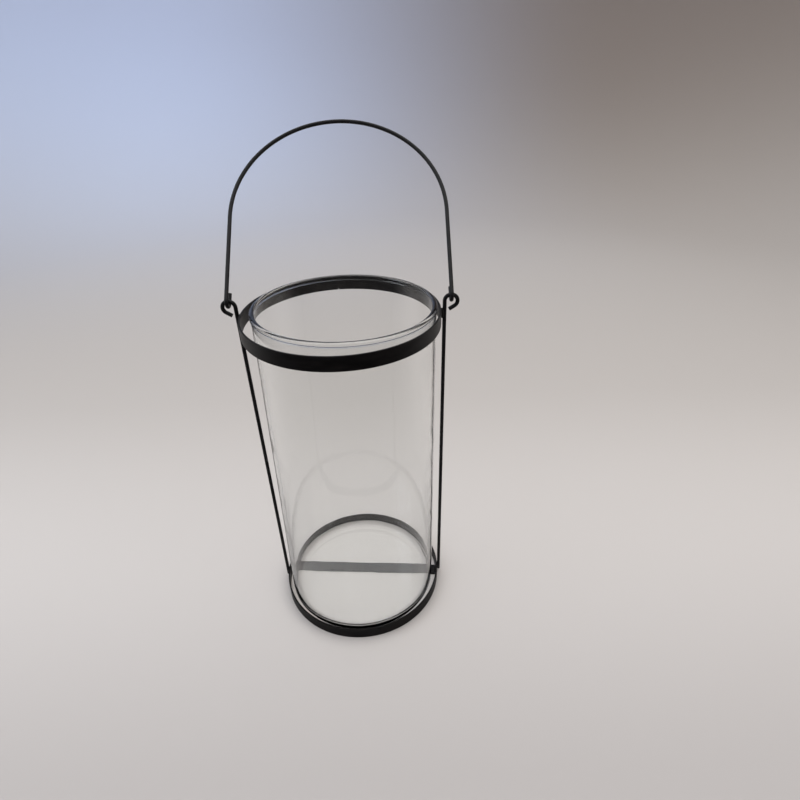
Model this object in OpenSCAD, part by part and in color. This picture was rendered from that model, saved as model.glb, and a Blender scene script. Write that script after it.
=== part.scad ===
// Hurricane candle lantern: a clear glass cylinder standing loose in a frame of two flat-strip
// rings, a base strap and two wire uprights, with a wire bail hooked through an eye on each side.
// Millimetres. +Z is up, X runs through the uprights, -Y is the front.
// The origin is the middle of the base, on the surface that the lantern stands on.

/* [Rings] */
// How much wider the rings are inside than the glass
ring_play = 9; // [2:0.5:24]
// Height of the flat strip that the rings are bent from
strip_h = 12; // [8:0.5:20]
// Thickness of the flat strip
strip_t = 1.5; // [1:0.1:2.5]
// Radius on the long edges of the strip
strip_edge_r = 0.3; // [0.1:0.05:0.45]
// How far the rim of the glass stands above the top ring
rim_above = 5.5; // [2:0.5:30]
// Width of the butt joint where the ends of a strip meet
seam_w = 0.8; // [0.4:0.1:2]
// Direction of the butt joints, anticlockwise from +X
seam_angle = 96; // [60:1:120]
// How far the weld in a butt joint stands proud of the strip
seam_crown = 0.2; // [0.1:0.05:0.5]
// Height of the notch left open under the weld in a butt joint
seam_notch = 1.2; // [0.5:0.1:3]

/* [Base strap] */
// Width of the flat strap across the base
strap_w = 12; // [8:0.5:24]
// Thickness of the flat strap
strap_t = 1.5; // [1:0.1:3]
// How far the strap lies behind the middle of the ring
strap_back = 4.5; // [0:0.5:5]
// Angle from the line through the uprights to the strap, anticlockwise
strap_turn = -4; // [-8:0.5:8]
// Gap between the corners of the strap and the ring that they are welded to
strap_end_gap = 0.1; // [0.05:0.05:0.5]

/* [Uprights] */
// Diameter of the upright wires
wire_d = 3.2; // [2.5:0.1:3.6]
// Height of the cut foot of a wire above the floor
foot_z = 3; // [1:0.5:6]
// Gap between a wire and the bottom ring, filled by the weld
foot_gap = 0.1; // [0.05:0.05:1]
// Gap between a wire and the top ring, filled by the weld
top_gap = 1.2; // [0.2:0.1:2]
// Inside diameter of the eye curled at the top of a wire
eye_bore = 7; // [6.8:0.1:9]
// Height of the middle of the eye above the top ring
eye_rise = 5; // [4:0.5:20]
// Angle that the curl turns through
eye_turn = 238; // [225:1:245]
// Straight end of the wire after the curl
eye_tail = 5; // [3:0.1:5.2]

/* [Bail] */
// Diameter of the bail wire
bail_d = 3.2; // [2.5:0.1:3.6]
// Straight length of a leg, from the eye to the start of the arch
bail_leg = 72; // [40:1:160]
// Inside diameter of the hook bent at the foot of each leg
hook_bore = 5; // [4.2:0.1:5.4]
// Straight end of the hook behind the eye
hook_tail = 8.5; // [4:0.5:16]
// Angle at which the bail leans back from upright
bail_lean = 46; // [0:1:80]

/* [Glass] */
// Outside diameter of the glass cylinder
glass_d = 148; // [110:1:180]
// Height of the glass cylinder
glass_h = 312; // [150:1:460]
// Thickness of the glass wall
glass_wall = 3; // [2:0.1:5]
// Thickness of the glass at the fire-polished rim
rim_t = 3.6; // [3:0.1:6]
// Thickness of the glass floor
glass_floor = 5; // [3:0.5:14]
// Outside radius between the wall and the underside
heel_out = 8; // [2:0.5:12]
// Inside radius between the wall and the floor
heel_in = 14; // [2:0.5:20]
// Width of the flat ring that the glass stands on
foot_ring_w = 3; // [1:0.5:10]
// Depth of the hollow under the floor
kick_depth = 0.8; // [0.2:0.1:2]
// Gap left between the glass and the rings where it has slid against them
glass_gap = 0.3; // [0.2:0.1:1]
// Direction in which the glass has slid, anticlockwise from +X
glass_side = -51; // [-180:1:180]

/* [Hidden] */
$fn = 96;

// How far cutters run past what they cut, and the number of sides on a large cutter
eps = 0.01;
past = 1;
fine = 360;
// The frame is made to fit the glass, which stands on the strap
glass_r = glass_d / 2;
ring_in_r = glass_r + ring_play / 2;
ring_r = ring_in_r + strip_t;
frame_h = strap_t + glass_h - rim_above;
top_ring_z = frame_h - strip_h;

// The strap's square ends reach the ring at their back corners
strap_half = sqrt(pow(ring_in_r, 2) - pow(strap_back + strap_w / 2, 2)) - strap_end_gap;

// Each upright is drawn standing on its own foot and tipped outwards by the splay
wire_r = wire_d / 2;
foot_x = ring_r + foot_gap + wire_r;
top_x = ring_r + top_gap + wire_r;
splay = atan((top_x - foot_x) / (top_ring_z + strip_h / 2 - foot_z));
eye_r = (eye_bore + wire_d) / 2;
eye_z = frame_h + eye_rise;
eye_up = (eye_z - foot_z + eye_r * sin(splay)) / cos(splay);
tail_lap = 0.2;
tail_step = 0.01;

// The bail swings about the crown of the eyes: the middle of the wire at the top of each curl
crown_x = foot_x + eye_r * cos(splay) + (eye_up + eye_r) * sin(splay);
crown_z = foot_z - eye_r * sin(splay) + (eye_up + eye_r) * cos(splay);

bail_r = bail_d / 2;
hook_r = (hook_bore + bail_d) / 2;

glass_shift = ring_play / 2 - glass_gap;
rim_r = rim_t / 2;
kick_r = glass_r - heel_out - foot_ring_w;
kick_slope = 5 * kick_depth;

// Weld beads
bead_over = 0.4;
bead_r = wire_r + bead_over;
bead_end = 1.5;
strap_bead_r = strap_t;

metal = "#1d1c1e";
weld = "#262528";
clear = [0.86, 0.92, 0.93, 0.35];

// A rectangle with round corners, from the origin
module round_rect(w, h, r) {
    translate([r, 0]) square([w - 2 * r, h]);
    translate([0, r]) square([w, h - 2 * r]);
    for (x = [r, w - r], y = [r, h - r]) translate([x, y]) circle(r);
}

// A straight wire standing on the origin
module rod(r, length) {
    cylinder(r = r, h = length);
}

// A wire bent to a radius in the XZ plane, about the origin, from one angle to another
module bend(bend_r, r, from, to) {
    rotate([90, 0, 0]) rotate_extrude(start = from, angle = to - from) translate([bend_r, 0]) circle(r);
}

// A bead of weld standing on the origin, with round ends
module bead(r, length) {
    translate([0, 0, r]) cylinder(r = r, h = length - 2 * r);
    translate([0, 0, r]) sphere(r);
    translate([0, 0, length - r]) sphere(r);
}

module both_sides() {
    children();
    mirror([1, 0, 0]) children();
}

// ---- Rings ----

module seam_slot(height) {
    rotate([0, 0, seam_angle])
        translate([ring_in_r - strip_t, -seam_w / 2, 0]) cube([3 * strip_t, seam_w, height]);
}

module strip_ring() {
    difference() {
        rotate_extrude() translate([ring_in_r, 0]) round_rect(strip_t, strip_h, strip_edge_r);
        translate([0, 0, -past]) seam_slot(strip_h + 2 * past);
    }
}

module top_ring() {
    color(metal) translate([0, 0, top_ring_z]) strip_ring();
}

module bottom_ring() {
    color(metal) strip_ring();
}

// The strap lies flat on the floor across the bottom ring, under the glass
module base_strap() {
    color(metal) rotate([0, 0, strap_turn]) translate([-strap_half, strap_back - strap_w / 2, 0])
        cube([2 * strap_half, strap_w, strap_t]);
}

// ---- Uprights ----

// The eye turns over outwards from the top of the wire and ends in a straight tail. The tail laps
// a little way into the curl and is a hair thinner, so it joins on wherever the curl ends.
module eye() {
    translate([eye_r, 0, 0]) {
        bend(eye_r, wire_r, 180 - eye_turn, 180);
        rotate([0, eye_turn - 180, 0])
            translate([eye_r, 0, -eye_tail]) rod(wire_r - tail_step, eye_tail + tail_lap);
    }
}

module upright() {
    translate([foot_x, 0, foot_z]) rotate([0, splay, 0]) {
        rod(wire_r, eye_up);
        translate([0, 0, eye_up]) eye();
    }
}

module left_upright() {
    color(metal) mirror([1, 0, 0]) upright();
}

// The right upright is the same bent wire, turned by half a turn
module right_upright() {
    rotate([0, 0, 180]) left_upright();
}

// ---- Bail ----

// The leg comes down in front of the eye, passes under its crown and turns up behind it
module bail_leg_and_hook() {
    translate([crown_x, 0, 0]) {
        translate([0, -hook_r, 0]) rod(bail_r, bail_leg);
        rotate([0, 0, 90]) bend(hook_r, bail_r, 180, 360);
        translate([0, hook_r, 0]) rod(bail_r, hook_tail);
    }
}

module bail_handle() {
    color(metal) translate([0, 0, crown_z]) rotate([-bail_lean, 0, 0]) {
        both_sides() bail_leg_and_hook();
        translate([0, -hook_r, bail_leg]) bend(crown_x, bail_r, 0, 180);
    }
}

// ---- Glass ----

module glass_outside() {
    translate([0, heel_out]) square([glass_r, glass_h - heel_out - rim_r]);
    square([glass_r - heel_out, glass_h - rim_r]);
    translate([glass_r - heel_out, heel_out]) circle(heel_out);
}

module glass_inside() {
    inside_r = glass_r - glass_wall;
    translate([0, glass_floor + heel_in]) square([inside_r, glass_h]);
    translate([0, glass_floor]) square([inside_r - heel_in, glass_h]);
    translate([inside_r - heel_in, glass_floor + heel_in]) circle(heel_in);
}

module glass_profile() {
    difference() {
        glass_outside();
        glass_inside();
    }
    translate([glass_r - rim_r, glass_h - rim_r]) circle(rim_r);
}

module glass_cylinder() {
    color(clear) translate([glass_shift * cos(glass_side), glass_shift * sin(glass_side), strap_t])
        difference() {
            rotate_extrude() glass_profile();
            translate([0, 0, -eps]) cylinder(r1 = kick_r, r2 = kick_r - kick_slope, h = kick_depth + eps);
        }
}

// ---- Welds ----

module ring_core(z) {
    translate([0, 0, z - eps]) cylinder(r = ring_r, h = strip_h + 2 * eps, $fn = fine);
}

// A bead fills the gap between a ring and a wire, and stops short of the ring's edges
module upright_weld(ring_z, gap, low, high) {
    difference() {
        translate([ring_r + gap / 2 + bead_over, 0, ring_z + low]) bead(bead_r, high - low);
        ring_core(ring_z);
        upright();
    }
}

module top_ring_welds() {
    color(weld) both_sides() upright_weld(top_ring_z, top_gap, 2 * bead_end, strip_h - bead_end);
}

module bottom_ring_welds() {
    color(weld) both_sides() upright_weld(0, foot_gap, foot_z + bead_end, strip_h - bead_end);
}

// A fillet of weld on top of each end of the strap, in the corner with the ring
module strap_welds() {
    color(weld) rotate([0, 0, strap_turn]) both_sides() intersection() {
        translate([strap_half, strap_back + strap_w / 2, strap_t])
            rotate([90, 0, 0]) bead(strap_bead_r, strap_w);
        translate([0, 0, strap_t]) cylinder(r = ring_in_r, h = strip_h, $fn = fine);
    }
}

module seam_weld() {
    intersection() {
        difference() {
            cylinder(r = ring_r + seam_crown, h = strip_h, $fn = fine);
            translate([0, 0, -past]) cylinder(r = ring_in_r, h = strip_h + 2 * past, $fn = fine);
        }
        translate([0, 0, seam_notch]) seam_slot(strip_h - seam_notch - strip_edge_r);
    }
}

module seam_welds() {
    color(weld) {
        seam_weld();
        translate([0, 0, top_ring_z]) seam_weld();
    }
}

glass_cylinder();
top_ring();
bottom_ring();
base_strap();
left_upright();
right_upright();
bail_handle();
top_ring_welds();
bottom_ring_welds();
strap_welds();
seam_welds();
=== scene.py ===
# %% [markdown]
# # Hurricane candle lantern
# A hurricane lantern keeps the draught off a candle. This one is a clear glass cylinder that stands
# loose in a black frame of flat rings and round wire, with a wire bail to carry it by. The rings, the
# strap, the wires and the bail come from CAD and are only painted here. The glass and most of the
# weld beads are modelled again, because their looks depend on shapes finer than a CAD solid needs.

# %% Load the fixed frame
import math

import bmesh
import bpy
from mathutils import Matrix, Vector, noise


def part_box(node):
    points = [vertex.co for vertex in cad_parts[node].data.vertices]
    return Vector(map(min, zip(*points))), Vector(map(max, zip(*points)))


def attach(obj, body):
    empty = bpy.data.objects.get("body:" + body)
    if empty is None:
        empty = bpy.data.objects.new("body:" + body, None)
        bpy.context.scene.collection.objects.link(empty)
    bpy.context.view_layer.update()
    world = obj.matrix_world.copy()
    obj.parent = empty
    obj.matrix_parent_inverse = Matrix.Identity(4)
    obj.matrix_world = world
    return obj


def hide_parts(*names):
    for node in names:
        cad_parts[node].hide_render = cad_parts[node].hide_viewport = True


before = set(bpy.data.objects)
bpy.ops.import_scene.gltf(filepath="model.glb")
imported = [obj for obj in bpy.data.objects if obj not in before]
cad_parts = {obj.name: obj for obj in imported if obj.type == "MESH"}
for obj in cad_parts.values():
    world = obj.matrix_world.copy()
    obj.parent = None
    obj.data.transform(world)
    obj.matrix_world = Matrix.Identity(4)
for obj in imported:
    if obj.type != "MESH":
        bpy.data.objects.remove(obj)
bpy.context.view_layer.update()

MM = 0.001
print("CAD nodes:", ", ".join(sorted(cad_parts)))

# %% [markdown]
# ## The camera
# A camera has a place, a direction and a lens. The direction could be aimed at a point, but then its
# roll is hard to set, so it is built from three turns: the pitch looks down, the yaw looks sideways,
# and the roll tilts the horizon. Blender's camera looks along its own -Z, so the pitch is counted
# from a quarter turn, which stands it up to look along +Y.

# %% Camera
CAMERA_AT = Vector((41.937, -407.470, 478.794)) * MM
PITCH_DOWN = math.radians(32.286)
YAW_RIGHT = math.radians(0.446)
ROLL = math.radians(1.655)
FOCAL_PIXELS = 546.526
RENDER_PIXELS = 800
SENSOR = 36.0

camera_data = bpy.data.cameras.new("camera")
camera_data.sensor_width = SENSOR
camera_data.lens = SENSOR * FOCAL_PIXELS / RENDER_PIXELS
camera = bpy.data.objects.new("camera", camera_data)
bpy.context.scene.collection.objects.link(camera)
turn = (
    Matrix.Rotation(-YAW_RIGHT, 4, "Z")
    @ Matrix.Rotation(math.pi / 2 - PITCH_DOWN, 4, "X")
    @ Matrix.Rotation(-ROLL, 4, "Z")
)
camera.matrix_world = Matrix.Translation(CAMERA_AT) @ turn
bpy.context.scene.camera = camera
print("camera lens %.2f mm" % camera_data.lens)

# %% [markdown]
# ## Satin black paint
# The frame is steel under a satin black paint. Close up it isn't one colour: the film has a fine
# orange peel, dries in patches, and rubs thin and brown along its edges. A painted texture could
# carry all that, but noise on Object coordinates needs no unwrapping and has a true scale, because
# the coordinates are metres: a scale of 1000 means about one feature in each millimetre. The strip,
# the wire and the welds share the effect, so it is one node group with named inputs, built once, and
# each material gives it its own values. Two helpers keep this short: one adds a node with its
# settings, and the other links an output to an input.

# %% Sockets of the paint film
FILM_NUMBERS = (("Grain", 900.0), ("Patch", 60.0), ("Wear", 0.3), ("Stretch", 1.0))
FILM_COLOURS = ("Dark", "Light", "Bare")


def add(tree, kind, **settings):
    node = tree.nodes.new(kind)
    for name, value in settings.items():
        setattr(node, name, value)
    return node


def link(tree, output, socket):
    tree.links.new(output, socket)


paint_film = bpy.data.node_groups.new("paint_film", "ShaderNodeTree")
face = paint_film.interface
for name, value in FILM_NUMBERS:
    face.new_socket(name, in_out="INPUT", socket_type="NodeSocketFloat").default_value = value
for name in FILM_COLOURS:
    face.new_socket(name, in_out="INPUT", socket_type="NodeSocketColor")
face.new_socket("Color", in_out="OUTPUT", socket_type="NodeSocketColor")
face.new_socket("Roughness", in_out="OUTPUT", socket_type="NodeSocketFloat")
face.new_socket("Height", in_out="OUTPUT", socket_type="NodeSocketFloat")
inlet = add(paint_film, "NodeGroupInput")
outlet = add(paint_film, "NodeGroupOutput")
print("paint film inputs:", ", ".join(socket.name for socket in inlet.outputs if socket.name))

# %% [markdown]
# Two noises make the film: a fine one for the orange peel and a broad one for the patches. Both read
# the coordinates after z is multiplied by the stretch. Above 1 that squeezes the pattern into streaks
# that run round a ring, as rolled strip has them, and below 1 it draws the streaks out along a wire.
# The peel goes straight out as the height, which each material turns into a bump.

# %% Orange peel and patches
PEEL_DETAIL = 3.0
PATCH_DETAIL = 4.0

coordinates = add(paint_film, "ShaderNodeTexCoord")
squeeze = add(paint_film, "ShaderNodeCombineXYZ")
squeeze.inputs["X"].default_value = 1.0
squeeze.inputs["Y"].default_value = 1.0
link(paint_film, inlet.outputs["Stretch"], squeeze.inputs["Z"])
place = add(paint_film, "ShaderNodeVectorMath", operation="MULTIPLY")
link(paint_film, coordinates.outputs["Object"], place.inputs[0])
link(paint_film, squeeze.outputs["Vector"], place.inputs[1])

peel = add(paint_film, "ShaderNodeTexNoise")
peel.inputs["Detail"].default_value = PEEL_DETAIL
patch = add(paint_film, "ShaderNodeTexNoise")
patch.inputs["Detail"].default_value = PATCH_DETAIL
for texture, size in ((peel, "Grain"), (patch, "Patch")):
    link(paint_film, place.outputs["Vector"], texture.inputs["Vector"])
    link(paint_film, inlet.outputs[size], texture.inputs["Scale"])
link(paint_film, peel.outputs["Fac"], outlet.inputs["Height"])
print("film so far:", len(paint_film.nodes), "nodes")

# %% [markdown]
# Paint rubs off at the edges first. The Bevel node gives the normal that the surface would have if
# its edges were rounded. Away from an edge that is the true normal, and near one the two differ, so
# their dot product, mapped from just under 1, is a mask of the edges. Multiplied by the patches, it
# breaks up as real wear does.

# %% Wear along the edges
EDGE_RADIUS = 0.5 * MM
EDGE_SAMPLES = 6
EDGE_STARTS = 0.995
EDGE_IS_FULL = 0.90

rounded = add(paint_film, "ShaderNodeBevel", samples=EDGE_SAMPLES)
rounded.inputs["Radius"].default_value = EDGE_RADIUS
geometry = add(paint_film, "ShaderNodeNewGeometry")
agree = add(paint_film, "ShaderNodeVectorMath", operation="DOT_PRODUCT")
link(paint_film, rounded.outputs["Normal"], agree.inputs[0])
link(paint_film, geometry.outputs["Normal"], agree.inputs[1])
edge_mask = add(paint_film, "ShaderNodeMapRange")
edge_mask.inputs["From Min"].default_value = EDGE_STARTS
edge_mask.inputs["From Max"].default_value = EDGE_IS_FULL
link(paint_film, agree.outputs["Value"], edge_mask.inputs["Value"])

broken = add(paint_film, "ShaderNodeMath", operation="MULTIPLY")
link(paint_film, edge_mask.outputs["Result"], broken.inputs[0])
link(paint_film, patch.outputs["Fac"], broken.inputs[1])
worn = add(paint_film, "ShaderNodeMath", operation="MULTIPLY", use_clamp=True)
link(paint_film, broken.outputs["Value"], worn.inputs[0])
link(paint_film, inlet.outputs["Wear"], worn.inputs[1])
print("wear within %.1f mm of an edge" % (EDGE_RADIUS / MM))

# %% [markdown]
# The patches mix the dark and the light tone of the film, and the wear mixes in the bare, browner
# tone. The patches also make the film a little more or less satin. Noise stays near its middle
# value, so its range is narrowed before it is used as a mix factor, or the two tones would blur.

# %% Colour and roughness of the film
PATCH_LOW = 0.35
PATCH_HIGH = 0.65
SATIN = 0.36
DULL = 0.52

tone = add(paint_film, "ShaderNodeMapRange")
tone.inputs["From Min"].default_value = PATCH_LOW
tone.inputs["From Max"].default_value = PATCH_HIGH
link(paint_film, patch.outputs["Fac"], tone.inputs["Value"])
film_colour = add(paint_film, "ShaderNodeMix", data_type="RGBA")
link(paint_film, tone.outputs["Result"], film_colour.inputs["Factor"])
link(paint_film, inlet.outputs["Dark"], film_colour.inputs["A"])
link(paint_film, inlet.outputs["Light"], film_colour.inputs["B"])
worn_colour = add(paint_film, "ShaderNodeMix", data_type="RGBA")
link(paint_film, worn.outputs["Value"], worn_colour.inputs["Factor"])
link(paint_film, film_colour.outputs["Result"], worn_colour.inputs["A"])
link(paint_film, inlet.outputs["Bare"], worn_colour.inputs["B"])
link(paint_film, worn_colour.outputs["Result"], outlet.inputs["Color"])

rough = add(paint_film, "ShaderNodeMapRange")
rough.inputs["To Min"].default_value = SATIN
rough.inputs["To Max"].default_value = DULL
link(paint_film, patch.outputs["Fac"], rough.inputs["Value"])
link(paint_film, rough.outputs["Result"], outlet.inputs["Roughness"])
print("paint film group:", len(paint_film.nodes), "nodes")

# %% [markdown]
# ## Three painted finishes
# The rolled strip, the drawn wire and the welds take the same paint differently, so there are three
# materials. A material holds the shader itself, the group only feeds it colours and numbers, and a
# value that is the same all over, such as the specular level, is set on the shader's own socket. The
# paint is nearly black and reflects little, so the bump is what catches the light.

# %% Material helpers
PEEL_HEIGHT = 0.05 * MM


def new_material(name):
    material = bpy.data.materials.new(name)
    material.use_nodes = True
    tree = material.node_tree
    tree.nodes.clear()
    shader = add(tree, "ShaderNodeBsdfPrincipled")
    output = add(tree, "ShaderNodeOutputMaterial")
    link(tree, shader.outputs["BSDF"], output.inputs["Surface"])
    return material, tree, shader, output


def painted(name, dark, light, bare, grain, patch, wear, stretch, bump, specular):
    material, tree, shader, _ = new_material(name)
    film = add(tree, "ShaderNodeGroup", node_tree=paint_film)
    sizes = (("Grain", grain), ("Patch", patch), ("Wear", wear), ("Stretch", stretch))
    for socket, value in sizes:
        film.inputs[socket].default_value = value
    for socket, value in (("Dark", dark), ("Light", light), ("Bare", bare)):
        film.inputs[socket].default_value = (*value, 1.0)
    relief = add(tree, "ShaderNodeBump")
    relief.inputs["Strength"].default_value = bump
    relief.inputs["Distance"].default_value = PEEL_HEIGHT
    link(tree, film.outputs["Height"], relief.inputs["Height"])
    link(tree, relief.outputs["Normal"], shader.inputs["Normal"])
    link(tree, film.outputs["Color"], shader.inputs["Base Color"])
    link(tree, film.outputs["Roughness"], shader.inputs["Roughness"])
    shader.inputs["Specular IOR Level"].default_value = specular
    print(name, "has", len(tree.nodes), "nodes")
    return material


# %% Strip, wire and weld paint
strip_paint = painted(
    "black_strip_paint", (0.0035, 0.0028, 0.0032), (0.0085, 0.0070, 0.0072), (0.045, 0.034, 0.028),
    grain=1100, patch=70, wear=0.5, stretch=4.0, bump=0.25, specular=0.16,
)
wire_paint = painted(
    "black_wire_paint", (0.0035, 0.0032, 0.0040), (0.0085, 0.0080, 0.0095), (0.040, 0.033, 0.030),
    grain=1400, patch=110, wear=0.3, stretch=0.4, bump=0.3, specular=0.25,
)
weld_paint = painted(
    "black_weld_paint", (0.0045, 0.0040, 0.0040), (0.011, 0.0095, 0.0090), (0.045, 0.036, 0.030),
    grain=800, patch=250, wear=0.6, stretch=1.0, bump=0.6, specular=0.25,
)

# %% [markdown]
# The CAD nodes keep their meshes, which are never changed here. Only the first material slot of each
# is filled. The seams of the rings were ground nearly flush, so their CAD shape is good enough to
# keep, while the other welds get new meshes further down.

# %% Paint the CAD nodes
PAINT_JOBS = (
    (strip_paint, ("top_ring", "bottom_ring", "base_strap")),
    (wire_paint, ("left_upright", "right_upright", "bail_handle")),
    (weld_paint, ("seam_welds",)),
)
for paint, names in PAINT_JOBS:
    for name in names:
        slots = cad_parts[name].data.materials
        slots.clear()
        slots.append(paint)
    print(paint.name, "on", ", ".join(names))

# %% [markdown]
# ## Clear glass
# Glass is a Principled shader with full transmission and no roughness. Its colour counts each time
# light passes a surface, so a hair under white already gives the wall its faint green. What makes it
# look real is that the shape bends what is behind it, and that a drawn or blown wall is never quite
# flat. Waves could be modelled, but they are so shallow that a slow noise through a Bump node shows
# them as well.

# %% Glass shader with slow waves
CLEAR = (0.992, 0.997, 0.992, 1.0)
GLASS_IOR = 1.50
WAVE_SCALE = 38.0
WAVE_DETAIL = 1.0
WAVE_STRENGTH = 0.35
WAVE_HEIGHT = 0.4 * MM

glass, glass_tree, glass_shader, glass_output = new_material("clear_glass")
glass_shader.inputs["Base Color"].default_value = CLEAR
glass_shader.inputs["Roughness"].default_value = 0.0
glass_shader.inputs["IOR"].default_value = GLASS_IOR
glass_shader.inputs["Transmission Weight"].default_value = 1.0
coordinates = add(glass_tree, "ShaderNodeTexCoord")
slow = add(glass_tree, "ShaderNodeTexNoise")
slow.inputs["Scale"].default_value = WAVE_SCALE
slow.inputs["Detail"].default_value = WAVE_DETAIL
link(glass_tree, coordinates.outputs["Object"], slow.inputs["Vector"])
waves = add(glass_tree, "ShaderNodeBump")
waves.inputs["Strength"].default_value = WAVE_STRENGTH
waves.inputs["Distance"].default_value = WAVE_HEIGHT
link(glass_tree, slow.outputs["Fac"], waves.inputs["Height"])
link(glass_tree, waves.outputs["Normal"], glass_shader.inputs["Normal"])
print("waves about %.0f mm apart" % (1.0 / WAVE_SCALE / MM))

# %% [markdown]
# A lamp can't be found through a surface that bends light, so refracting glass casts a shadow as
# dark as metal, and what little comes through is noisy. For shadow rays, and for the light that the
# pale floor scatters, the glass therefore turns to a Transparent shader. The floor inside the
# cylinder is then lit once and evenly, a little dimmer than the floor around it.

# %% Glass that lets the lamps through
THROUGH_WALL = (0.970, 0.970, 0.966, 1.0)

light_path = add(glass_tree, "ShaderNodeLightPath")
see_through = add(glass_tree, "ShaderNodeBsdfTransparent")
see_through.inputs["Color"].default_value = THROUGH_WALL
plain_ray = add(glass_tree, "ShaderNodeMath", operation="MAXIMUM")
link(glass_tree, light_path.outputs["Is Shadow Ray"], plain_ray.inputs[0])
link(glass_tree, light_path.outputs["Is Diffuse Ray"], plain_ray.inputs[1])
glass_mix = add(glass_tree, "ShaderNodeMixShader")
link(glass_tree, plain_ray.outputs["Value"], glass_mix.inputs["Fac"])
link(glass_tree, glass_shader.outputs["BSDF"], glass_mix.inputs[1])
link(glass_tree, see_through.outputs["BSDF"], glass_mix.inputs[2])
link(glass_tree, glass_mix.outputs["Shader"], glass_output.inputs["Surface"])
print("clear glass:", len(glass_tree.nodes), "nodes")

# %% [markdown]
# ## The glass cylinder
# The cylinder has a thick base, a thin wall and a rim that fire polishing has drawn up into a bead.
# A cylinder with a Solidify modifier would have one thickness all over, so this one is turned: a
# profile is drawn from the axis out along the underside, up the wall, over the rim and back down the
# inside, and then spun. The profile is written as corners only: a radius, a height, and the rounding
# that the corner gets. The rim bead stands just proud of the wall, and the whole is a little shorter
# than its CAD solid, which leaves room for it to lean.

# %% Profile of the glass
WALL = 2.9 * MM
FLOOR = 6.0 * MM
HEEL_OUT = 9.0 * MM
HEEL_IN = 7.0 * MM
RIM = 4.0 * MM
RIM_BULGE = 0.5 * MM
RIM_PROUD = 0.35 * MM
LEAN_ROOM = 2.0 * MM
NECK = 0.3 * MM
NECK_ROUND = 0.2 * MM

glass_low, glass_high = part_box("glass_cylinder")
glass_r = (glass_high.x - glass_low.x) / 2 + RIM_PROUD
glass_h = glass_high.z - glass_low.z - LEAN_ROOM
outer_r = glass_r - RIM_BULGE
inner_r = outer_r - WALL
rim_low = glass_h - RIM
rim_in = glass_r - RIM

# Two roundings share the top of the rim, so each is just under half of it
rim_round = 0.49 * RIM
GLASS_PROFILE = [
    (0.0, 0.0, 0.0),
    (outer_r, 0.0, HEEL_OUT),
    (outer_r, rim_low - NECK, NECK_ROUND),
    (glass_r, rim_low, NECK_ROUND),
    (glass_r, glass_h, rim_round),
    (rim_in, glass_h, rim_round),
    (rim_in, rim_low, NECK_ROUND),
    (inner_r, rim_low - NECK, NECK_ROUND),
    (inner_r, FLOOR, HEEL_IN),
    (0.0, FLOOR, 0.0),
]
print("glass %.1f x %.1f mm" % (2 * glass_r / MM, glass_h / MM))

# %% [markdown]
# The glass is loose in the rings and rocks on the strap under it, so it never stands quite upright.
# Here it leans back and a little to the right until the wall all but touches the top ring. The lean
# goes into the mesh, like every place does, and the object itself stays unturned at the origin.

# %% The lean of the glass
FOOT_AT = Vector((-0.40, -4.25, 2.4)) * MM
LEAN_BACK = math.radians(1.25)
LEAN_RIGHT = math.radians(0.58)

lean_axis = Vector((math.tan(LEAN_RIGHT), math.tan(LEAN_BACK), 1.0)).normalized()
lean = Vector((0.0, 0.0, 1.0)).rotation_difference(lean_axis).to_matrix().to_4x4()
rim_at = FOOT_AT + lean_axis * glass_h
print("rim middle at %.1f, %.1f, %.1f mm" % tuple(v / MM for v in rim_at))

# %% [markdown]
# The corners become vertices joined by edges, and bevelling a vertex with a profile of 0.5 turns it
# into an arc. The tall wall edges are cut into rows, so that no face is a long sliver. The spin goes
# all the way round and merges its last copy with its first, and after it the doubles on the axis are
# merged and the normals made to point outwards, in that order, before the mesh is leant over.

# %% Spin the glass
CORNER_SEGMENTS = 10
SPIN_STEPS = 256
WALL_ROWS = 40
SAME_POINT = 0.001 * MM


def rounded_profile(corners, segments):
    bm = bmesh.new()
    verts = [bm.verts.new((r, 0.0, z)) for r, z, _ in corners]
    for a, b in zip(verts, verts[1:]):
        bm.edges.new((a, b))
    for vert, (_, _, radius) in zip(verts, corners):
        if radius:
            bmesh.ops.bevel(
                bm, geom=[vert], offset=radius, offset_type="OFFSET", affect="VERTICES",
                segments=segments, profile=0.5, material=-1,
            )
    return bm


def full_spin(bm, steps, merge):
    bmesh.ops.spin(
        bm, geom=bm.edges[:] + bm.verts[:], cent=(0, 0, 0), axis=(0, 0, 1),
        angle=math.tau, steps=steps, use_merge=True,
    )
    bmesh.ops.remove_doubles(bm, verts=bm.verts, dist=merge)
    bmesh.ops.recalc_face_normals(bm, faces=bm.faces)


blown = rounded_profile(GLASS_PROFILE, CORNER_SEGMENTS)
wall_edges = [edge for edge in blown.edges if edge.calc_length() > glass_h / 2]
bmesh.ops.subdivide_edges(blown, edges=wall_edges, cuts=WALL_ROWS)
full_spin(blown, SPIN_STEPS, SAME_POINT)
bmesh.ops.transform(blown, matrix=Matrix.Translation(FOOT_AT) @ lean, verts=blown.verts)
print("glass mesh:", len(blown.verts), "vertices, %.0f cm3" % (blown.calc_volume() * 1e6))

# %% [markdown]
# A finished bmesh becomes a mesh, the mesh an object.

# %% The glass as a piece
def finish_mesh(bm, name, material):
    mesh = bpy.data.meshes.new(name)
    bm.to_mesh(mesh)
    bm.free()
    mesh.materials.append(material)
    mesh.shade_smooth()
    piece = bpy.data.objects.new(name, mesh)
    bpy.context.scene.collection.objects.link(piece)
    print(name, "has", len(mesh.polygons), "faces")
    return piece


cylinder = finish_mesh(blown, "glass_cylinder_blown", glass)
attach(cylinder, "glass")
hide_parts("glass_cylinder")

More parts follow.
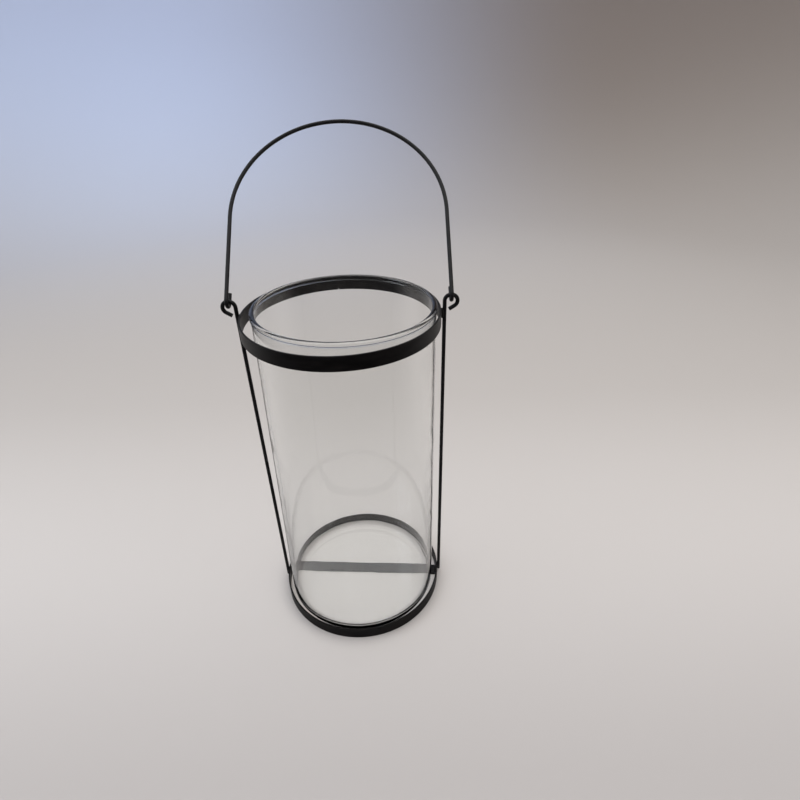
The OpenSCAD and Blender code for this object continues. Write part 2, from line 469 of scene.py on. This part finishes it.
# %% [markdown]
# ## Weld beads
# The wires are welded to the rings where they touch, and the strap to the bottom ring at its ends.
# A torch held by hand leaves a bead of overlapping ripples that is never quite even. It could be
# sculpted, but here an icosphere gets blunter ends, swells and shrinks along its length in ripples,
# takes a little noise on top, and is then stretched into place. That comes out the same on every
# run, and a different seed gives each bead its own shape.

# %% One weld bead
RIPPLE_PITCH = 1.4 * MM
RIPPLE_DEPTH = 0.09
LUMP_SCALE = 2.6
LUMP_DEPTH = 0.22
BLUNT = 0.7


def weld_bead(bm, middle, size, turned, seed):
    verts = bmesh.ops.create_icosphere(bm, subdivisions=5, radius=0.5)["verts"]
    for vert in verts:
        vert.co.z = math.copysign(abs(2.0 * vert.co.z) ** BLUNT, vert.co.z) / 2.0
        phase = math.tau * vert.co.z * size[2] / RIPPLE_PITCH
        swell = 1.0 + RIPPLE_DEPTH * math.sin(phase + seed)
        swell += LUMP_DEPTH * noise.noise(vert.co * LUMP_SCALE + Vector((seed, seed, 0.0)))
        vert.co.x *= swell
        vert.co.y *= swell
    stretched = Matrix.Diagonal((*size, 1.0))
    placed = Matrix.Translation(Vector(middle) * MM) @ turned @ stretched
    bmesh.ops.transform(bm, matrix=placed, verts=verts)


def weld_piece(bm, name, node):
    bmesh.ops.recalc_face_normals(bm, faces=bm.faces)
    piece = finish_mesh(bm, name, weld_paint)
    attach(piece, "frame")
    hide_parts(node)


print("about %.0f ripples in 7 mm of bead" % (7 * MM / RIPPLE_PITCH))

# %% [markdown]
# Each joint of wire and ring has two beads, one on either side of the wire. Those at the top ring
# are longer and bridge a small gap, because the wire stands off the ring there, and they are set
# slightly askew. Those at the foot are shorter. Places are in millimetres, and the size of a bead is
# its width, depth and length before it is turned.

# %% Beads of the top ring
TOP_BEAD = (2.7 * MM, 2.3 * MM, 7.8 * MM)
TOP_WELD_X = 80.9
TOP_WELD_Z = 302.8
BEAD_SIDE = 1.3
ASKEW = 4.0


def bead_seed(side, edge):
    return 3.0 + side + 0.37 * edge


top_beads = bmesh.new()
for side in (-1, 1):
    for edge in (-1, 1):
        askew = Matrix.Rotation(math.radians(ASKEW * edge * side), 4, "X")
        middle = (side * TOP_WELD_X, edge * BEAD_SIDE, TOP_WELD_Z)
        weld_bead(top_beads, middle, TOP_BEAD, askew, bead_seed(side, edge))

# A drop of metal that ran out of the left weld and set as a spur
SPUR = (0.9 * MM, 1.0 * MM, 2.6 * MM)
SPUR_AT = (-82.0, -1.9, 301.0)
SPUR_SEED = 5.0
spur_turn = Matrix.Rotation(math.radians(-50.0), 4, "Y")
weld_bead(top_beads, SPUR_AT, SPUR, spur_turn, SPUR_SEED)
weld_piece(top_beads, "top_ring_beads", "top_ring_welds")

# %% Beads of the bottom ring
FOOT_BEAD = (2.4 * MM, 2.5 * MM, 6.6 * MM)
FOOT_WELD_X = 80.6
FOOT_WELD_Z = 7.5
FOOT_SEED = 7.0
UPRIGHT = Matrix.Identity(4)

foot_beads = bmesh.new()
for side in (-1, 1):
    for edge in (-1, 1):
        middle = (side * FOOT_WELD_X, edge * BEAD_SIDE, FOOT_WELD_Z)
        weld_bead(foot_beads, middle, FOOT_BEAD, UPRIGHT, bead_seed(side, edge) + FOOT_SEED)
weld_piece(foot_beads, "bottom_ring_beads", "bottom_ring_welds")

# %% [markdown]
# The strap has one bead across each end, in the corner between its top and the ring. A bead is made
# standing, so it is first laid flat along Y, and then turned with the strap, which was welded in a
# few degrees off square.

# %% Beads of the strap
STRAP_BEAD = (2.4 * MM, 1.9 * MM, 11.6 * MM)
STRAP_END = 77.3
STRAP_BACK = 4.5
STRAP_WELD_Z = 1.9
STRAP_TURN = math.radians(-4.0)
STRAP_SEED = 9.0

across = Matrix.Rotation(STRAP_TURN, 4, "Z")
laid_flat = Matrix.Rotation(math.radians(90.0), 4, "X")
strap_beads = bmesh.new()
for side in (-1, 1):
    middle = across @ Vector((side * STRAP_END, STRAP_BACK, STRAP_WELD_Z))
    weld_bead(strap_beads, middle, STRAP_BEAD, across @ laid_flat, STRAP_SEED + side)
weld_piece(strap_beads, "strap_beads", "strap_welds")

# %% [markdown]
# ## Floor and backdrop
# The lantern stands in the middle of a seamless bowl: one pale sheet that is level under the object
# and sweeps up far away on every side, so there is no corner and no horizon from any angle. A plane
# would end somewhere, and a sheet bent up on one side would only suit one camera. The bowl is a bent
# profile, spun like the glass, and it is seen from inside, so if its level faces look down after the
# normals are made consistent, all its faces are turned together.

# %% Bowl
BOWL_R = 2.6
BOWL_TOP = 1.5
BOWL_BEND = 1.1
BEND_SEGMENTS = 24
BOWL_STEPS = 96
BOWL_PROFILE = [(0.0, 0.0, 0.0), (BOWL_R, 0.0, BOWL_BEND), (BOWL_R, BOWL_TOP, 0.0)]

bowl = rounded_profile(BOWL_PROFILE, BEND_SEGMENTS)
full_spin(bowl, BOWL_STEPS, MM)
level_face = min(bowl.faces, key=lambda face: face.calc_center_median().length)
if level_face.normal.z < 0:
    bmesh.ops.reverse_faces(bowl, faces=bowl.faces)
print("bowl normal at the middle: %.1f" % level_face.normal.z)

# %% [markdown]
# A backdrop is never evenly lit. More lamps would light the lantern as well, so the falloff is in the
# colour of the sheet. Y and Z added together give the way back along the floor and up the sweep, and
# a colour ramp with smooth steps turns that way into tones: bright around the lantern, then greyer.

# %% Tones along the sweep
SWEEP_NEAR = -1.0
SWEEP_FAR = 3.0
SWEEP_TONES = [
    (0.00, (0.48, 0.455, 0.445)),
    (0.20, (0.55, 0.52, 0.505)),
    (0.26, (0.76, 0.725, 0.70)),
    (0.34, (0.54, 0.505, 0.475)),
    (0.50, (0.56, 0.53, 0.505)),
    (0.72, (0.58, 0.545, 0.52)),
    (1.00, (0.50, 0.465, 0.465)),
]

sweep, sweep_tree, sweep_shader, _ = new_material("pale_sweep")
coordinates = add(sweep_tree, "ShaderNodeTexCoord")
split = add(sweep_tree, "ShaderNodeSeparateXYZ")
link(sweep_tree, coordinates.outputs["Object"], split.inputs["Vector"])
climb = add(sweep_tree, "ShaderNodeMath", operation="ADD")
link(sweep_tree, split.outputs["Y"], climb.inputs[0])
link(sweep_tree, split.outputs["Z"], climb.inputs[1])
along = add(sweep_tree, "ShaderNodeMapRange")
along.inputs["From Min"].default_value = SWEEP_NEAR
along.inputs["From Max"].default_value = SWEEP_FAR
link(sweep_tree, climb.outputs["Value"], along.inputs["Value"])
tones = add(sweep_tree, "ShaderNodeValToRGB")
ramp = tones.color_ramp
ramp.interpolation = "B_SPLINE"
for place_on_ramp, tone_colour in SWEEP_TONES[1:-1]:
    ramp.elements.new(place_on_ramp).color = (*tone_colour, 1.0)
ramp.elements[0].color = (*SWEEP_TONES[0][1], 1.0)
ramp.elements[-1].color = (*SWEEP_TONES[-1][1], 1.0)
link(sweep_tree, along.outputs["Result"], tones.inputs["Fac"])
print("sweep tones:", len(ramp.elements))

# %% [markdown]
# Far back, light that isn't there is painted into the sheet: the left is painted cool, as daylight
# from a window would light it, and the right warm and dimmer, as a lamp in the room would. One smooth
# ramp over X mixes the two painted casts, and one over the climb fades them in, so the sheet under the
# lantern keeps its own colour. The tones are multiplied by the result.

# %% Painted cool and warm light on the sweep
CAST_REACH = 1.0
# Painted light: a cool cast on the left and a warm, dimmer one on the right, in the sheet's colour
PAINTED_COOL_LIGHT = (1.30, 1.60, 2.15, 1.0)
PAINTED_WARM_LIGHT = (0.62, 0.58, 0.54, 1.0)
CAST_STARTS = 0.4
CAST_IS_FULL = 2.8
NO_CAST = (1.0, 1.0, 1.0, 1.0)

sideways = add(sweep_tree, "ShaderNodeMapRange", interpolation_type="SMOOTHSTEP")
sideways.inputs["From Min"].default_value = -CAST_REACH
sideways.inputs["From Max"].default_value = CAST_REACH
link(sweep_tree, split.outputs["X"], sideways.inputs["Value"])
cast = add(sweep_tree, "ShaderNodeMix", data_type="RGBA")
cast.inputs["A"].default_value = PAINTED_COOL_LIGHT
cast.inputs["B"].default_value = PAINTED_WARM_LIGHT
link(sweep_tree, sideways.outputs["Result"], cast.inputs["Factor"])
far_up = add(sweep_tree, "ShaderNodeMapRange", interpolation_type="SMOOTHSTEP")
far_up.inputs["From Min"].default_value = CAST_STARTS
far_up.inputs["From Max"].default_value = CAST_IS_FULL
link(sweep_tree, climb.outputs["Value"], far_up.inputs["Value"])
painted_light_tint = add(sweep_tree, "ShaderNodeMix", data_type="RGBA")
painted_light_tint.inputs["A"].default_value = NO_CAST
link(sweep_tree, far_up.outputs["Result"], painted_light_tint.inputs["Factor"])
link(sweep_tree, cast.outputs["Result"], painted_light_tint.inputs["B"])
sweep_colour = add(sweep_tree, "ShaderNodeMix", data_type="RGBA", blend_type="MULTIPLY")
sweep_colour.inputs["Factor"].default_value = 1.0
link(sweep_tree, tones.outputs["Color"], sweep_colour.inputs["A"])
link(sweep_tree, painted_light_tint.outputs["Result"], sweep_colour.inputs["B"])
print("cast full from %.1f m" % CAST_IS_FULL)

# %% [markdown]
# A shiny thing shows the room around it. Here that is the pale sweep behind and beside the lantern,
# and in front of it a dark room that is only painted shade: reflected rays alone see the sheet darken
# towards the front.
# Without the dark side, black paint reflects pale floor and turns grey, and the glass hides the ring
# behind it.
# Light Path's Glossy Depth is above zero on any ray that has been mirrored, also when it went on
# through glass, so it picks out those rays, and they alone see this painted shade.

# %% Painted shade that only reflections see
REFLECTED_SHADE_STARTS = 0.22
REFLECTED_SHADE_IS_FULL = -0.32
REFLECTED_SHADE_DEPTH = 0.85
# Painted shade: the dark colour that mirrored rays see on the front of the sheet
PAINTED_REFLECTED_SHADE = (0.02, 0.02, 0.02, 1.0)
SWEEP_ROUGHNESS = 0.8
SWEEP_SPECULAR = 0.1

room = add(sweep_tree, "ShaderNodeMapRange", interpolation_type="SMOOTHSTEP")
room.inputs["From Min"].default_value = REFLECTED_SHADE_STARTS
room.inputs["From Max"].default_value = REFLECTED_SHADE_IS_FULL
room.inputs["To Max"].default_value = REFLECTED_SHADE_DEPTH
link(sweep_tree, split.outputs["Y"], room.inputs["Value"])
light_path = add(sweep_tree, "ShaderNodeLightPath")
mirrored = add(sweep_tree, "ShaderNodeMath", operation="MULTIPLY", use_clamp=True)
link(sweep_tree, light_path.outputs["Glossy Depth"], mirrored.inputs[0])
link(sweep_tree, room.outputs["Result"], mirrored.inputs[1])
painted_reflection_shade = add(sweep_tree, "ShaderNodeMix", data_type="RGBA")
painted_reflection_shade.inputs["B"].default_value = PAINTED_REFLECTED_SHADE
link(sweep_tree, mirrored.outputs["Value"], painted_reflection_shade.inputs["Factor"])
link(sweep_tree, sweep_colour.outputs["Result"], painted_reflection_shade.inputs["A"])
link(sweep_tree, painted_reflection_shade.outputs["Result"], sweep_shader.inputs["Base Color"])
sweep_shader.inputs["Roughness"].default_value = SWEEP_ROUGHNESS
sweep_shader.inputs["Specular IOR Level"].default_value = SWEEP_SPECULAR

backdrop = finish_mesh(bowl, "pale_bowl", sweep)

# %% [markdown]
# ## Light
# The world is a dim sky, a little brighter overhead, which fills the shadows and lets the rim and the
# wires catch a soft line from above. It has no image behind it: the height of a direction picks a
# grey between the two, and a low strength keeps pale surfaces from clipping to white.

# %% Sky
SKY_LOW = (0.34, 0.335, 0.34, 1.0)
SKY_HIGH = (0.85, 0.85, 0.87, 1.0)
SKY_STARTS = 0.3
SKY_IS_FULL = 0.8
SKY_STRENGTH = 0.55

world = bpy.data.worlds.new("soft_sky")
bpy.context.scene.world = world
world.use_nodes = True
sky_tree = world.node_tree
sky_tree.nodes.clear()
sky_output = add(sky_tree, "ShaderNodeOutputWorld")
background = add(sky_tree, "ShaderNodeBackground")
link(sky_tree, background.outputs["Background"], sky_output.inputs["Surface"])
direction = add(sky_tree, "ShaderNodeTexCoord")
sky_split = add(sky_tree, "ShaderNodeSeparateXYZ")
link(sky_tree, direction.outputs["Generated"], sky_split.inputs["Vector"])
height = add(sky_tree, "ShaderNodeMapRange", interpolation_type="SMOOTHSTEP")
height.inputs["From Min"].default_value = SKY_STARTS
height.inputs["From Max"].default_value = SKY_IS_FULL
link(sky_tree, sky_split.outputs["Z"], height.inputs["Value"])
sky_colour = add(sky_tree, "ShaderNodeMix", data_type="RGBA")
sky_colour.inputs["A"].default_value = SKY_LOW
sky_colour.inputs["B"].default_value = SKY_HIGH
link(sky_tree, height.outputs["Result"], sky_colour.inputs["Factor"])
link(sky_tree, sky_colour.outputs["Result"], background.inputs["Color"])
background.inputs["Strength"].default_value = SKY_STRENGTH
print("sky strength", SKY_STRENGTH)

# %% [markdown]
# The key is one very large soft lamp overhead and a little behind, which leaves a wide, faint shadow
# under the rings and keeps the front of the frame dark. Two weak lamps fill from the sides, a cool
# one on the left and a warm one on the right. They are large too: a small lamp of the same power is
# brighter for its size, and its mirror image in the base of the glass burns out to white.

# %% Lamps
LANTERN_MIDDLE = (0.0, 0.0, 0.18)
KEY_AIM = (0.0, 0.10, 0.0)


def lamp(name, at, target, size, watts, colour):
    data = bpy.data.lights.new(name, "AREA")
    data.shape = "SQUARE"
    data.size = size
    data.energy = watts
    data.color = colour
    lamp_object = bpy.data.objects.new(name, data)
    bpy.context.scene.collection.objects.link(lamp_object)
    lamp_object.location = at
    aim = Vector(target) - Vector(at)
    lamp_object.rotation_euler = aim.to_track_quat("-Z", "Y").to_euler()
    print(name, "%.1f W, %.1f m wide" % (watts, size))


lamp("soft_overhead", (0.10, 0.35, 1.9), KEY_AIM, 3.0, 30.0, (1.0, 0.985, 0.97))
lamp("cool_left", (-1.2, -0.2, 1.0), LANTERN_MIDDLE, 0.8, 4.0, (0.82, 0.90, 1.0))
lamp("warm_right", (1.3, -0.4, 1.1), LANTERN_MIDDLE, 0.8, 2.5, (1.0, 0.94, 0.88))
bpy.context.scene.view_settings.view_transform = "Standard"
